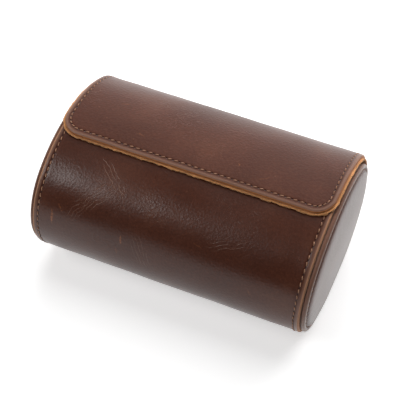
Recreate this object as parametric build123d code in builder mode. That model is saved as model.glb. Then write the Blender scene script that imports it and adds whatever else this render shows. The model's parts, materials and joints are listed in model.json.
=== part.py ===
"""Two-watch travel case: a rigid oval tube wrapped in leather, closed by a curved leather flap.

The tube lies along X with its flat base on Z = 0 and its front towards -Y. Sizes are in millimetres.
Every layer follows one section of tangent arcs, so a layer is a band of that section between two
distances from the leather's outer face. Positions round the section are given by the direction of
its normal: 0 degrees points to the front, 90 up and 180 to the back.
"""
from build123d import *

import math
import os

# Tube section and length
tube_length = 138.0
tube_width = 93.5
tube_height = 70.5
widest_height = 0.489 * tube_height
side_radius = 0.92 * widest_height
side_center = tube_width / 2 - side_radius
base_half = 0.4 * side_center

# Layers of the tube
wrap_thickness = 1.8
former_thickness = 2.2
lining_thickness = 0.8
edge_round = 0.5 * wrap_thickness
turned_edge = 1.2

# Opening and hinge, as directions of the section's normal, and how far the back edge is past the hinge
lip_angle = 100.0
hinge_angle = 168.0
back_setback = 1.25

# End boards and the padded end panels
board_thickness = 4.0
board_setback = 1.0
panel_inset = 1.0
panel_leather = 1.6
panel_rise = 2.5
panel_round = 1.1
spigot_clearance = 0.4
crease_inset = 3.5
crease_width = 1.0
crease_depth = 0.5
dome_rise = 1.7
dome_radius = 600.0
dome_taper = 25.0
rim_strip_thickness = 1.0

# Flap
flap_overlap = 24.3
flap_gap = 0.25
facing_thickness = 1.1
facing_side = 6.0
facing_margin = 1.0
flap_thickness = 1.7
flap_round = 1.1
flap_half_length = tube_length / 2
corner_radius = 11.0
flap_lining_thickness = 0.6
rim_clearance = 0.3
tail_length = 15.0
fold_gap = 0.3

# Magnets hidden under the leather
magnet_diameter = 10.0
magnet_thickness = 1.0
magnet_spacing = 84.0
magnet_setback = 12.0

# Thread
thread_width = 0.8
thread_depth = 0.3
stitch_margin = 3.1
wrap_stitch_margin = 3.0

# Divider and watch pillows
divider_thickness = 2.0
divider_height = 46.0
pillow_length = 54.0
pillow_width = 48.0
pillow_height = 40.0
pillow_skin = 1.2
pillow_clearance = 0.3

# Circles that make up the section
top_rise = tube_height - widest_height
top_radius = (top_rise**2 - side_radius**2 + side_center**2) / (2 * (top_rise - side_radius))
top_center = tube_height - top_radius
foot_offset = side_center - base_half
foot_radius = (foot_offset**2 + widest_height**2 - side_radius**2) / (2 * (widest_height - side_radius))
shoulder = math.degrees(math.atan2(widest_height - top_center, side_center))
heel = math.degrees(math.atan2(foot_radius - widest_height, foot_offset))
ARCS = [
    (-base_half, foot_radius, foot_radius, -90.0, -heel),
    (-side_center, widest_height, side_radius, -heel, shoulder),
    (0.0, top_center, top_radius, shoulder, 180.0 - shoulder),
    (side_center, widest_height, side_radius, 180.0 - shoulder, 180.0 + heel),
    (base_half, foot_radius, foot_radius, 180.0 + heel, 270.0),
]
ARCS = [(y, z, r, lo - 360.0, hi - 360.0) for y, z, r, lo, hi in ARCS] + ARCS

# Depths of the layers below the wrap's outer face, and places along X
former_top = -wrap_thickness
lining_top = former_top - former_thickness
cavity = lining_top - lining_thickness
rim = tube_length / 2
board_face = rim - board_setback
board_back = board_face - board_thickness
well_end = board_back - lining_thickness
facing_top = flap_gap + facing_thickness
flap_top = facing_top + flap_thickness
hinge_depth = facing_top + flap_thickness / 2


def skin(angle, depth=0.0):
    """Point of the section, depth outside the wrap's face, whose normal has this direction."""
    for y, z, radius, low, high in ARCS:
        if low <= angle <= high:
            reach = radius + depth
            return (y - reach * math.cos(math.radians(angle)), z + reach * math.sin(math.radians(angle)))


def turn(distance, angle, depth=0.0):
    """Change of the normal's direction over this distance along the section, near an angle."""
    for _, _, radius, low, high in ARCS:
        if low <= angle <= high:
            return math.degrees(distance / (radius + depth))


flap_front_angle = lip_angle - turn(flap_overlap, lip_angle)
magnet_angle = lip_angle - turn(magnet_setback, lip_angle)
back_angle = hinge_angle + turn(back_setback, hinge_angle)
back_edge = back_angle - 360.0


def band(start, end, inner, outer):
    """Strip of the section between two directions and two depths."""
    with BuildSketch(mode=Mode.PRIVATE) as strip:
        with BuildLine():
            for depth in (inner, outer):
                for y, z, radius, low, high in ARCS:
                    first = max(start, low)
                    last = min(end, high)
                    if last > first:
                        CenterArc((y, z), radius + depth, 180.0 - first, first - last)
                if start < -90.0 < end:
                    Line((base_half, -depth), (-base_half, -depth))
            Line(skin(start, inner), skin(start, outer))
            Line(skin(end, inner), skin(end, outer))
        make_face()
    return strip.sketch


def oval(depth):
    """The whole section, depth outside the wrap's face."""
    with BuildSketch(mode=Mode.PRIVATE) as section:
        with BuildLine():
            for y, z, radius, low, high in ARCS[5:]:
                CenterArc((y, z), radius + depth, 180.0 - low, low - high)
            Line((base_half, -depth), (-base_half, -depth))
        make_face()
    return section.sketch


def prism(section, start, end, mode=Mode.ADD):
    """Section in the YZ plane, extruded from one X to another."""
    with BuildSketch(Plane.YZ.offset(start)) as profile:
        add(section)
    extrude(profile.sketch, amount=end - start, mode=mode)


def flap_outline(inset):
    """The flap's outline seen square to its front edge, drawn in by inset, as a tall block."""
    front = flap_front_angle + turn(inset, flap_front_angle)
    half_length = flap_half_length + facing_margin - inset
    radius = corner_radius - inset
    y, z = skin(front)
    tilt = math.radians(front + turn(radius / 2, front))
    seat = Plane(origin=(0, y, z), x_dir=(1, 0, 0), z_dir=(0, -math.cos(tilt), math.sin(tilt)))
    with BuildPart() as block:
        with BuildSketch(seat):
            with Locations((0, tube_width)):
                RectangleRounded(2 * half_length, 2 * tube_width, radius)
        extrude(amount=tube_height, both=True)
    return block.part


def at_depth(edge, depth):
    """True where an edge lies on the face that is depth outside the wrap's face."""
    for share in (0.0, 0.5, 1.0):
        point = edge.position_at(share)
        angle = nearest_direction(point)
        y, z = skin(angle, depth)
        if math.hypot(point.Y - y, point.Z - z) > 0.01:
            return False
    return True


def nearest_direction(point):
    """Direction of the section's normal that passes through a point."""
    for y, z, _, low, high in ARCS[5:]:
        angle = 180.0 - math.degrees(math.atan2(point.Z - z, point.Y - y))
        if angle > 270.0:
            angle -= 360.0
        if low - 0.01 <= angle <= high + 0.01:
            return min(max(angle, low), high)
    return -90.0


def magnet_seats(depth):
    """Planes of the two magnets, at a depth, square to the section."""
    y, z = skin(magnet_angle, depth)
    tilt = math.radians(magnet_angle)
    normal = (0, -math.cos(tilt), math.sin(tilt))
    return [
        Plane(origin=(side * magnet_spacing / 2, y, z), x_dir=(1, 0, 0), z_dir=normal)
        for side in (-1, 1)
    ]


def discs(depth, height, mode=Mode.ADD, diameter=magnet_diameter):
    """The two magnets, or their pockets, standing outwards from a depth."""
    with Locations(*magnet_seats(depth)):
        Cylinder(diameter / 2, height, align=(Align.CENTER, Align.CENTER, Align.MIN), mode=mode)


def cushion(center, shrink):
    """Crowned pillow whose ends draw in, made smaller all round by shrink."""
    profile = [(-1.0, 12.0), (-0.92, 6.0), (-0.7, 1.6), (0.0, 0.0), (0.7, 1.6), (0.92, 6.0), (1.0, 12.0)]
    middle = -cavity + pillow_clearance + pillow_height / 2
    with BuildPart() as body:
        for share, draw in profile:
            x = center + share * (pillow_length / 2 - shrink)
            width = pillow_width - 2 * shrink - draw
            height = pillow_height - 2 * shrink - draw
            with BuildSketch(Plane.YZ.offset(x)):
                with Locations((0, middle)):
                    RectangleRounded(width, height, 0.4 * height)
        loft(ruled=True)
    return body.part


os.makedirs("parts", exist_ok=True)

# Outer wrap: one hide from the front lip round the base to the back lip, with both lips turned in
with BuildPart() as body_wrap:
    prism(band(back_edge, lip_angle, former_top, 0), -rim, rim)
    lip_turn = turn(turned_edge, lip_angle)
    prism(band(lip_angle - lip_turn, lip_angle, cavity, former_top), -board_back, board_back)
    back_turn = turn(turned_edge, back_edge)
    prism(band(back_edge, back_edge + back_turn, cavity, former_top), -board_back, board_back)
    rims = body_wrap.edges().group_by(Axis.X)
    fillet([edge for edge in rims[0] + rims[-1] if at_depth(edge, 0)], edge_round)
    stitch_line = rim - wrap_stitch_margin
    for side in (-stitch_line, stitch_line):
        prism(
            band(back_edge, lip_angle, -thread_depth, 1),
            side - thread_width / 2,
            side + thread_width / 2,
            mode=Mode.SUBTRACT,
        )
body_wrap.part.label = "body_wrap"
export_step(body_wrap.part, "parts/body_wrap.step")

with BuildPart() as body_former:
    prism(band(back_edge + back_turn, lip_angle - lip_turn, lining_top, former_top), -board_back, board_back)
    discs(former_top - magnet_thickness - 0.5, magnet_thickness + 1, Mode.SUBTRACT)
body_former.part.label = "body_former"
export_step(body_former.part, "parts/body_former.step")

with BuildPart() as body_lining:
    prism(band(back_edge + back_turn, lip_angle - lip_turn, cavity, lining_top), -board_back, board_back)
body_lining.part.label = "body_lining"
export_step(body_lining.part, "parts/body_lining.step")

with BuildPart() as lip_magnets:
    discs(former_top - magnet_thickness - 0.5, magnet_thickness)
lip_magnets.part.label = "lip_magnets"
export_step(lip_magnets.part, "parts/lip_magnets.step")

# Ends: a board closes the tube, and a padded leather panel with rolled edges is plugged in outside it
with BuildPart() as end_board_right:
    prism(oval(former_top), board_back, board_face)
end_board_right.part.label = "end_board_right"
export_step(end_board_right.part, "parts/end_board_right.step")

with BuildPart() as end_board_left:
    mirror(end_board_right.part, about=Plane.YZ)
end_board_left.part.label = "end_board_left"
export_step(end_board_left.part, "parts/end_board_left.step")

with BuildPart() as end_lining_right:
    prism(oval(cavity), well_end, board_back)
end_lining_right.part.label = "end_lining_right"
export_step(end_lining_right.part, "parts/end_lining_right.step")

with BuildPart() as end_lining_left:
    mirror(end_lining_right.part, about=Plane.YZ)
end_lining_left.part.label = "end_lining_left"
export_step(end_lining_left.part, "parts/end_lining_left.step")

with BuildPart() as rim_strip_right:
    strip_top = former_top + rim_strip_thickness
    prism(band(lip_angle, back_angle, former_top, strip_top), well_end, board_face)
    prism(band(lip_angle, back_angle, cavity, former_top), well_end, board_back)
rim_strip_right.part.label = "rim_strip_right"
export_step(rim_strip_right.part, "parts/rim_strip_right.step")

with BuildPart() as rim_strip_left:
    mirror(rim_strip_right.part, about=Plane.YZ)
rim_strip_left.part.label = "rim_strip_left"
export_step(rim_strip_left.part, "parts/rim_strip_left.step")

panel_face = rim + panel_rise
panel_seat = panel_face - panel_leather
dome_center = panel_face + dome_rise - dome_radius

with BuildPart() as end_pad_right:
    prism(oval(-crease_inset - panel_leather), panel_seat, panel_face + dome_rise)
    with Locations((dome_center, 0, tube_height / 2)):
        Sphere(dome_radius - panel_leather, mode=Mode.INTERSECT)
end_pad_right.part.label = "end_pad_right"
export_step(end_pad_right.part, "parts/end_pad_right.step")

with BuildPart() as end_pad_left:
    mirror(end_pad_right.part, about=Plane.YZ)
end_pad_left.part.label = "end_pad_left"
export_step(end_pad_left.part, "parts/end_pad_left.step")

with BuildPart() as dome:
    with BuildSketch(Plane.YZ.offset(panel_seat)):
        add(oval(-crease_inset - crease_width / 2))
    extrude(amount=panel_leather + 2 * dome_rise, taper=dome_taper)
    with Locations((dome_center, 0, tube_height / 2)):
        Sphere(dome_radius, mode=Mode.INTERSECT)

spigot_inset = wrap_thickness + spigot_clearance
with BuildPart() as end_panel_right:
    prism(oval(-panel_inset), rim, panel_face)
    panel_ends = end_panel_right.edges().group_by(Axis.X)
    fillet(panel_ends[0] + panel_ends[-1], panel_round)
    prism(oval(-spigot_inset), board_face, rim + panel_round)
    prism(oval(-crease_inset + crease_width / 2), panel_face - crease_depth, panel_face, Mode.SUBTRACT)
    add(dome.part)
    prism(oval(-spigot_inset - panel_leather), board_face, panel_seat, Mode.SUBTRACT)
    add(end_pad_right.part, mode=Mode.SUBTRACT)
end_panel_right.part.label = "end_panel_right"
export_step(end_panel_right.part, "parts/end_panel_right.step")

with BuildPart() as end_panel_left:
    mirror(end_panel_right.part, about=Plane.YZ)
end_panel_left.part.label = "end_panel_left"
export_step(end_panel_left.part, "parts/end_panel_left.step")

with BuildPart() as end_core_right:
    prism(oval(-spigot_inset - panel_leather), board_face, panel_seat)
end_core_right.part.label = "end_core_right"
export_step(end_core_right.part, "parts/end_core_right.step")

with BuildPart() as end_core_left:
    mirror(end_core_right.part, about=Plane.YZ)
end_core_left.part.label = "end_core_left"
export_step(end_core_left.part, "parts/end_core_left.step")

with BuildPart() as panel_thread_right:
    crease_floor = panel_face - crease_depth
    prism(oval(-crease_inset + thread_width / 2), crease_floor, crease_floor + thread_depth)
    prism(oval(-crease_inset - thread_width / 2), crease_floor, crease_floor + thread_depth, Mode.SUBTRACT)
panel_thread_right.part.label = "panel_thread_right"
export_step(panel_thread_right.part, "parts/panel_thread_right.step")

with BuildPart() as panel_thread_left:
    mirror(panel_thread_right.part, about=Plane.YZ)
panel_thread_left.part.label = "panel_thread_left"
export_step(panel_thread_left.part, "parts/panel_thread_left.step")

with BuildPart() as wrap_thread_right:
    thread_band = band(back_edge, lip_angle, -thread_depth, 0)
    prism(thread_band, stitch_line - thread_width / 2, stitch_line + thread_width / 2)
wrap_thread_right.part.label = "wrap_thread_right"
export_step(wrap_thread_right.part, "parts/wrap_thread_right.step")

with BuildPart() as wrap_thread_left:
    mirror(wrap_thread_right.part, about=Plane.YZ)
wrap_thread_left.part.label = "wrap_thread_left"
export_step(wrap_thread_left.part, "parts/wrap_thread_left.step")

# Divider between the two wells
half_cover = divider_thickness / 2 + lining_thickness
with BuildPart() as divider_board:
    prism(oval(cavity), -divider_thickness / 2, divider_thickness / 2)
    split(bisect_by=Plane.XY.offset(divider_height - lining_thickness), keep=Keep.BOTTOM)
divider_board.part.label = "divider_board"
export_step(divider_board.part, "parts/divider_board.step")

with BuildPart() as divider_cover:
    prism(oval(cavity), -half_cover, half_cover)
    split(bisect_by=Plane.XY.offset(divider_height), keep=Keep.BOTTOM)
    add(divider_board.part, mode=Mode.SUBTRACT)
divider_cover.part.label = "divider_cover"
export_step(divider_cover.part, "parts/divider_cover.step")

# Hinge tail: the flap's hide carried down the back over a filler strip and sewn to the wrap
tail_start = hinge_angle + turn(flap_thickness + fold_gap, hinge_angle, hinge_depth)
tail_end = tail_start + turn(tail_length, hinge_angle, hinge_depth)
tail_half = flap_half_length - facing_margin
with BuildPart() as hinge_tail:
    prism(band(tail_start, tail_end, facing_top, flap_top), -tail_half, tail_half)
    with BuildSketch(Plane.YZ.offset(-tail_half)):
        with Locations(skin(tail_start, hinge_depth)):
            Circle(flap_thickness / 2)
    extrude(amount=2 * tail_half)
    lower_rim = hinge_tail.edges().filter_by(Axis.X).sort_by(Axis.Z)[:2].sort_by(Axis.Y)[-1]
    fillet(lower_rim, 0.8 * flap_thickness)
    tail_seam = tail_end - turn(stitch_margin, tail_end, flap_top)
    seam_turn = turn(thread_width, tail_end, flap_top)
    prism(
        band(tail_seam - seam_turn, tail_seam, flap_top - thread_depth, flap_top + 1),
        stitch_margin - tail_half,
        tail_half - stitch_margin,
        Mode.SUBTRACT,
    )
hinge_tail.part.label = "hinge_tail"
export_step(hinge_tail.part, "parts/hinge_tail.step")

with BuildPart() as hinge_filler:
    prism(band(tail_start, tail_end, 0, facing_top), -tail_half, tail_half)
hinge_filler.part.label = "hinge_filler"
export_step(hinge_filler.part, "parts/hinge_filler.step")

with BuildPart() as hinge_thread:
    prism(
        band(tail_seam - seam_turn, tail_seam, flap_top - thread_depth, flap_top),
        stitch_margin - tail_half,
        tail_half - stitch_margin,
    )
hinge_thread.part.label = "hinge_thread"
export_step(hinge_thread.part, "parts/hinge_thread.step")

# Flap
facing_end = lip_angle + turn(facing_side, lip_angle)
facing_half = flap_half_length + facing_margin
inner_half = facing_half - facing_side
board_end = hinge_angle - turn(2 * flap_thickness, hinge_angle)
facing_outline = flap_outline(0)
leather_outline = flap_outline(facing_margin)
seam_outline = flap_outline(facing_margin + stitch_margin)
seam_inner_outline = flap_outline(facing_margin + stitch_margin + thread_width)

with BuildPart() as flap_thread:
    prism(band(flap_front_angle, board_end, flap_top - thread_depth, flap_top), -facing_half, facing_half)
    add(seam_outline, mode=Mode.INTERSECT)
    add(seam_inner_outline, mode=Mode.SUBTRACT)
flap_thread.part.label = "flap_thread"
export_step(flap_thread.part, "parts/flap_thread.step")

with BuildPart() as flap_leather:
    prism(band(flap_front_angle, hinge_angle, facing_top, flap_top), -facing_half, facing_half)
    add(leather_outline, mode=Mode.INTERSECT)
    show_edges = [
        edge for edge in flap_leather.edges()
        if at_depth(edge, flap_top)
        and not (edge.geom_type == GeomType.LINE and nearest_direction(edge.center()) > lip_angle)
    ]
    fillet(show_edges, flap_round)
    knuckle_half = flap_half_length - flap_round
    with BuildSketch(Plane.YZ.offset(-knuckle_half)):
        with Locations(skin(hinge_angle, hinge_depth)):
            Circle(flap_thickness / 2)
    extrude(amount=2 * knuckle_half)
    discs(facing_top, magnet_thickness + 0.1, Mode.SUBTRACT)
    add(flap_thread.part, mode=Mode.SUBTRACT)
flap_leather.part.label = "flap_leather"
export_step(flap_leather.part, "parts/flap_leather.step")

with BuildPart() as flap_facing:
    prism(band(flap_front_angle, board_end, flap_gap, facing_top), -facing_half, facing_half)
    add(facing_outline, mode=Mode.INTERSECT)
    prism(band(facing_end, board_end, 0, flap_top), -inner_half, inner_half, Mode.SUBTRACT)
flap_facing.part.label = "flap_facing"
export_step(flap_facing.part, "parts/flap_facing.step")

with BuildPart() as flap_lining:
    lining_floor = strip_top + rim_clearance
    lining_roof = lining_floor + flap_lining_thickness
    prism(band(facing_end, board_end, lining_floor, lining_roof), -inner_half, inner_half)
flap_lining.part.label = "flap_lining"
export_step(flap_lining.part, "parts/flap_lining.step")

with BuildPart() as flap_stiffener:
    prism(band(facing_end, board_end, lining_roof, facing_top), -inner_half, inner_half)
flap_stiffener.part.label = "flap_stiffener"
export_step(flap_stiffener.part, "parts/flap_stiffener.step")

with BuildPart() as flap_magnets:
    discs(facing_top, magnet_thickness)
flap_magnets.part.label = "flap_magnets"
export_step(flap_magnets.part, "parts/flap_magnets.step")

# Watch pillows
pillow_center = (well_end + half_cover) / 2
pillow_form = cushion(pillow_center, 0)
pillow_filling = cushion(pillow_center, pillow_skin)
with BuildPart() as pillow_core_right:
    add(pillow_filling)
pillow_core_right.part.label = "pillow_core_right"
export_step(pillow_core_right.part, "parts/pillow_core_right.step")

with BuildPart() as pillow_core_left:
    mirror(pillow_core_right.part, about=Plane.YZ)
pillow_core_left.part.label = "pillow_core_left"
export_step(pillow_core_left.part, "parts/pillow_core_left.step")

with BuildPart() as pillow_cover_right:
    add(pillow_form)
    add(pillow_core_right.part, mode=Mode.SUBTRACT)
pillow_cover_right.part.label = "pillow_cover_right"
export_step(pillow_cover_right.part, "parts/pillow_cover_right.step")

with BuildPart() as pillow_cover_left:
    mirror(pillow_cover_right.part, about=Plane.YZ)
pillow_cover_left.part.label = "pillow_cover_left"
export_step(pillow_cover_left.part, "parts/pillow_cover_left.step")
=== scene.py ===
"""Looks of a leather travel case for two watches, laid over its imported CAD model.

Every hide is worked out in two flat measures: x along the tube, and run, the distance round the tube's
section of tangent arcs. A third measure, depth, stands square to the section, with 0 at the wrap's face.
Sizes inside the shape functions are in millimetres.
"""
import json
import math

import bmesh
import bpy
import numpy as np
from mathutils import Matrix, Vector


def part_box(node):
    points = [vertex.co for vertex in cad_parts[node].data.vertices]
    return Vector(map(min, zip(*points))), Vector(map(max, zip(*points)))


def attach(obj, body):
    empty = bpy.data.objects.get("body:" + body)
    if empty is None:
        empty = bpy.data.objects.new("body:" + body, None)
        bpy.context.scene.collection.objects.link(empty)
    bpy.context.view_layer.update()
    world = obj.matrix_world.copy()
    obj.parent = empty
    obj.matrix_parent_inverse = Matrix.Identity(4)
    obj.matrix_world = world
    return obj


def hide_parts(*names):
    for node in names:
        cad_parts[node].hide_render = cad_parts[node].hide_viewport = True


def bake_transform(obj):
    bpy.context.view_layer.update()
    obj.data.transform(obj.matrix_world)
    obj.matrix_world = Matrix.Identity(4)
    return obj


bl_info = {
    "name": "Watch travel case",
    "version": (1, 0, 0),
    "blender": (4, 5, 0),
    "location": "View3D > Sidebar > Travel case",
    "description": "Builds the leather, seams, padding and stage of a two-watch travel case",
    "category": "Object",
}

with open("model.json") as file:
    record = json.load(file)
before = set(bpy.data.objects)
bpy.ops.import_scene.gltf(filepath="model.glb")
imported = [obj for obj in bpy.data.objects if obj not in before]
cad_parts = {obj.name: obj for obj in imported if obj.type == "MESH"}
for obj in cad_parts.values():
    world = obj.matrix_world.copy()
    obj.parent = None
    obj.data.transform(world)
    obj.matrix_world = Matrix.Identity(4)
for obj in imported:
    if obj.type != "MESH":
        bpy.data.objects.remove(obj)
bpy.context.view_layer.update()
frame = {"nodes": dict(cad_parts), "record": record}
WRAP_LOW, WRAP_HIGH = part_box("body_wrap")
SPAN = [1000 * (high - low) for low, high in zip(WRAP_LOW, WRAP_HIGH)]
MM = 0.001


def length_property(name, description, default, low=0.0):
    """A size in millimetres."""
    return bpy.props.FloatProperty(name=name, description=description, default=default, min=low)


def colour_property(name, description, default):
    """A colour, linear."""
    return bpy.props.FloatVectorProperty(
        name=name, description=description, default=default, subtype="COLOR", size=3, min=0.0, max=1.0)


class TravelCaseSizes(bpy.types.PropertyGroup):
    """Sizes of the visible pieces, in millimetres."""

    tube_length: length_property("Tube length", "Length of the wrapped tube, without its end panels", SPAN[0])
    tube_width: length_property("Tube width", "Width of the wrap across the section", SPAN[1])
    tube_height: length_property("Tube height", "Height of the wrap", SPAN[2])
    wrap_thickness: length_property("Wrap thickness", "Thickness of the wrap's leather", 1.8)
    facing_gap: length_property("Facing gap", "Gap between the wrap and the flap's facing", 0.25)
    facing_thickness: length_property("Facing thickness", "Thickness of the flap's second layer", 1.1)
    facing_margin: length_property("Facing margin", "How far the second layer stands out past the flap", 0.75)
    facing_side: length_property("Facing side", "Width of the second layer along the flap's sides", 6.0)
    flap_thickness: length_property("Flap thickness", "Thickness of the flap's leather", 1.6)
    flap_half_length: length_property("Flap half length", "Half the length of the flap's leather", 69.0)
    corner_radius: length_property("Corner radius", "Radius of the flap's front corners", 10.0)
    tail_length: length_property("Tail length", "Length of hide sewn down behind the hinge", 17.0)
    flap_seam: length_property("Flap seam inset", "Distance of the flap's seam from its edge", 2.95)
    wrap_seam: length_property("Wrap seam inset", "Distance of the wrap's seams from its ends", 3.0)
    crease_inset: length_property("Crease inset", "Distance of the end panel's seam from the wrap's face", 3.5)
    stitch_pitch: length_property("Stitch pitch", "Distance from one stitch to the next", 3.3)
    stitch_length: length_property("Stitch length", "Visible length of a stitch", 2.25)
    thread_width: length_property("Thread width", "Width of the thread", 0.55)


class TravelCaseColours(bpy.types.PropertyGroup):
    """Colours of the finishes, linear."""

    hide: colour_property("Hide", "Waxed leather at rest", (0.114, 0.035, 0.019))
    hide_dark: colour_property("Hide, oiled", "Waxed leather where the wax is thick", (0.054, 0.015, 0.008))
    hide_pulled: colour_property("Hide, pulled", "Waxed leather where it was bent or rubbed", (0.215, 0.082, 0.042))
    # The worn colour paints the bevelled edges and the crease lines pale: partly wear, partly painted sheen and painted
    # highlight.
    worn: colour_property("Worn edge", "Bevelled edge, rubbed pale", (0.29, 0.155, 0.105))
    rim: colour_property("Rim", "Sanded rims of the tube", (0.50, 0.25, 0.14))
    scuff: colour_property("Scuff", "Scuffs through the wax", (0.36, 0.120, 0.042))
    cut_edge: colour_property("Cut edge", "Sanded edge of the leather", (0.47, 0.165, 0.045))
    facing: colour_property("Facing", "Undyed second layer", (0.72, 0.330, 0.120))
    thread: colour_property("Thread", "Waxed thread", (0.56, 0.29, 0.17))
    suede: colour_property("Suede", "Lining and pillow covers", (0.19, 0.115, 0.070))
    board: colour_property("Board", "Raw board", (0.28, 0.21, 0.15))
    foam: colour_property("Foam", "Foam filling", (0.55, 0.50, 0.38))
    floor: colour_property("Floor", "Plain pale floor", (0.90, 0.90, 0.90))


# Shape of the section ---------------------------------------------------------------------------------

def section_table(sizes):
    """Direction, run and place of the wrap's face, as dense arrays.

    Five arcs tangent to each other and a flat foot make the closed section. They are sampled in order of
    the direction of their normal, 0 degrees to the front and 90 up, and run adds up radius times turn.
    """
    widest = 0.489 * sizes.tube_height
    side = 0.92 * widest
    centre = sizes.tube_width / 2 - side
    foot = 0.4 * centre
    rise = sizes.tube_height - widest
    top = (rise**2 - side**2 + centre**2) / (2 * (rise - side))
    top_z = sizes.tube_height - top
    low = ((centre - foot) ** 2 + widest**2 - side**2) / (2 * (widest - side))
    shoulder = math.degrees(math.atan2(widest - top_z, centre))
    heel = math.degrees(math.atan2(low - widest, centre - foot))
    arcs = [
        (centre, widest, side, -205.0, -180.0 + heel), (foot, low, low, -180.0 + heel, -90.0),
        (-foot, low, low, -90.0, -heel), (-centre, widest, side, -heel, shoulder),
        (0.0, top_z, top, shoulder, 180.0 - shoulder), (centre, widest, side, 180.0 - shoulder, 180.0 + heel),
        (foot, low, low, 180.0 + heel, 270.0),
    ]
    angle, y, z = [], [], []
    for cy, cz, radius, first, last in arcs:
        sweep = np.linspace(first, last, 500)
        angle.append(sweep)
        y.append(cy - radius * np.cos(np.radians(sweep)))
        z.append(cz + radius * np.sin(np.radians(sweep)))
    angle, y, z = (np.concatenate(part) for part in (angle, y, z))
    run = np.concatenate([[0], np.cumsum(np.hypot(np.diff(y), np.diff(z)))])
    return {"angle": angle, "run": run, "y": y, "z": z}


def run_at(table, angle):
    """Run at a direction of the normal."""
    return float(np.interp(angle, table["angle"], table["run"]))


def on_section(table, x, run, depth):
    """Points in metres: the face at this run, moved out along its normal by depth."""
    x, run, depth = np.broadcast_arrays(*(np.asarray(v, float) for v in (x, run, depth)))
    angle = np.radians(np.interp(run, table["run"], table["angle"]))
    y = np.interp(run, table["run"], table["y"]) - depth * np.cos(angle)
    z = np.interp(run, table["run"], table["z"]) + depth * np.sin(angle)
    return np.stack([x, y, z], -1) * MM


def direction(table, run):
    """Normal and tangent, in YZ, at a run."""
    angle = np.radians(np.interp(run, table["run"], table["angle"]))
    zero = np.zeros_like(angle)
    normal = np.stack([zero, -np.cos(angle), np.sin(angle)], -1)
    tangent = np.stack([zero, np.sin(angle), np.cos(angle)], -1)
    return normal, tangent


def ripple(u, v, wave, seed):
    """Smooth unevenness from -1 to 1: a sum of ten sine waves in turned directions, about wave long."""
    rng = np.random.default_rng(seed)
    total = np.zeros(np.broadcast(u, v).shape)
    for turn, stretch, phase in zip(rng.uniform(0, np.pi, 10), rng.uniform(0.6, 1.9, 10), rng.uniform(0, 6.28, 10)):
        total += np.sin((u * np.cos(turn) + v * np.sin(turn)) * 2 * np.pi / (wave * stretch) + phase)
    return total / 5.0


# Meshes -----------------------------------------------------------------------------------------------

def grid_faces(rows, columns, start=0, wrap_rows=False, wrap_columns=False):
    """Quads of a grid of points, row after row, joined round where asked."""
    r = np.arange(rows if wrap_rows else rows - 1)
    c = np.arange(columns if wrap_columns else columns - 1)
    r, c = np.meshgrid(r, c, indexing="ij")
    r2, c2 = (r + 1) % rows, (c + 1) % columns
    quads = np.stack([r * columns + c, r * columns + c2, r2 * columns + c2, r2 * columns + c], -1)
    return quads.reshape(-1, 4) + start


def put_mesh(name, points, quads, maps=None, marks=None, merge=2e-6):
    """An object from points, quads, two-number maps and one-number marks.

    Its doubles are merged and its open ends closed with flat faces that take the marks around them.
    """
    mesh = bpy.data.meshes.new(name)
    points = np.ascontiguousarray(points, np.float32)
    quads = np.ascontiguousarray(quads, np.int32)
    mesh.vertices.add(len(points))
    mesh.vertices.foreach_set("co", points.ravel())
    mesh.loops.add(quads.size)
    mesh.loops.foreach_set("vertex_index", quads.ravel())
    mesh.polygons.add(len(quads))
    mesh.polygons.foreach_set("loop_start", np.arange(0, quads.size, 4, dtype=np.int32))
    mesh.update(calc_edges=True)
    for key, values in (maps or {}).items():
        layer = mesh.uv_layers.new(name=key)
        layer.uv.foreach_set("vector", np.ascontiguousarray(values[quads.ravel()], np.float32).ravel())
    for key, values in (marks or {}).items():
        mark = mesh.attributes.new(key, "FLOAT", "POINT")
        mark.data.foreach_set("value", np.ascontiguousarray(values, np.float32).ravel())
    work = bmesh.new()
    work.from_mesh(mesh)
    bmesh.ops.remove_doubles(work, verts=work.verts, dist=merge)
    bmesh.ops.dissolve_degenerate(work, edges=work.edges, dist=merge)
    ends = bmesh.ops.holes_fill(work, edges=work.edges, sides=0)["faces"]
    bmesh.ops.triangulate(work, faces=ends)
    bmesh.ops.recalc_face_normals(work, faces=work.faces)
    work.to_mesh(mesh)
    work.free()
    mesh.polygons.foreach_set("use_smooth", np.ones(len(mesh.polygons), bool))
    mesh.update()
    item = bpy.data.objects.new(name, mesh)
    bpy.context.collection.objects.link(item)
    return item


def finish_piece(item, material, body=None, replaces=()):
    """Gives a piece its finish, the body it rides on and the CAD nodes it stands for."""
    item.data.materials.clear()
    item.data.materials.append(material)
    if body:
        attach(item, body)
    if replaces:
        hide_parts(*replaces)
    return item


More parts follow.
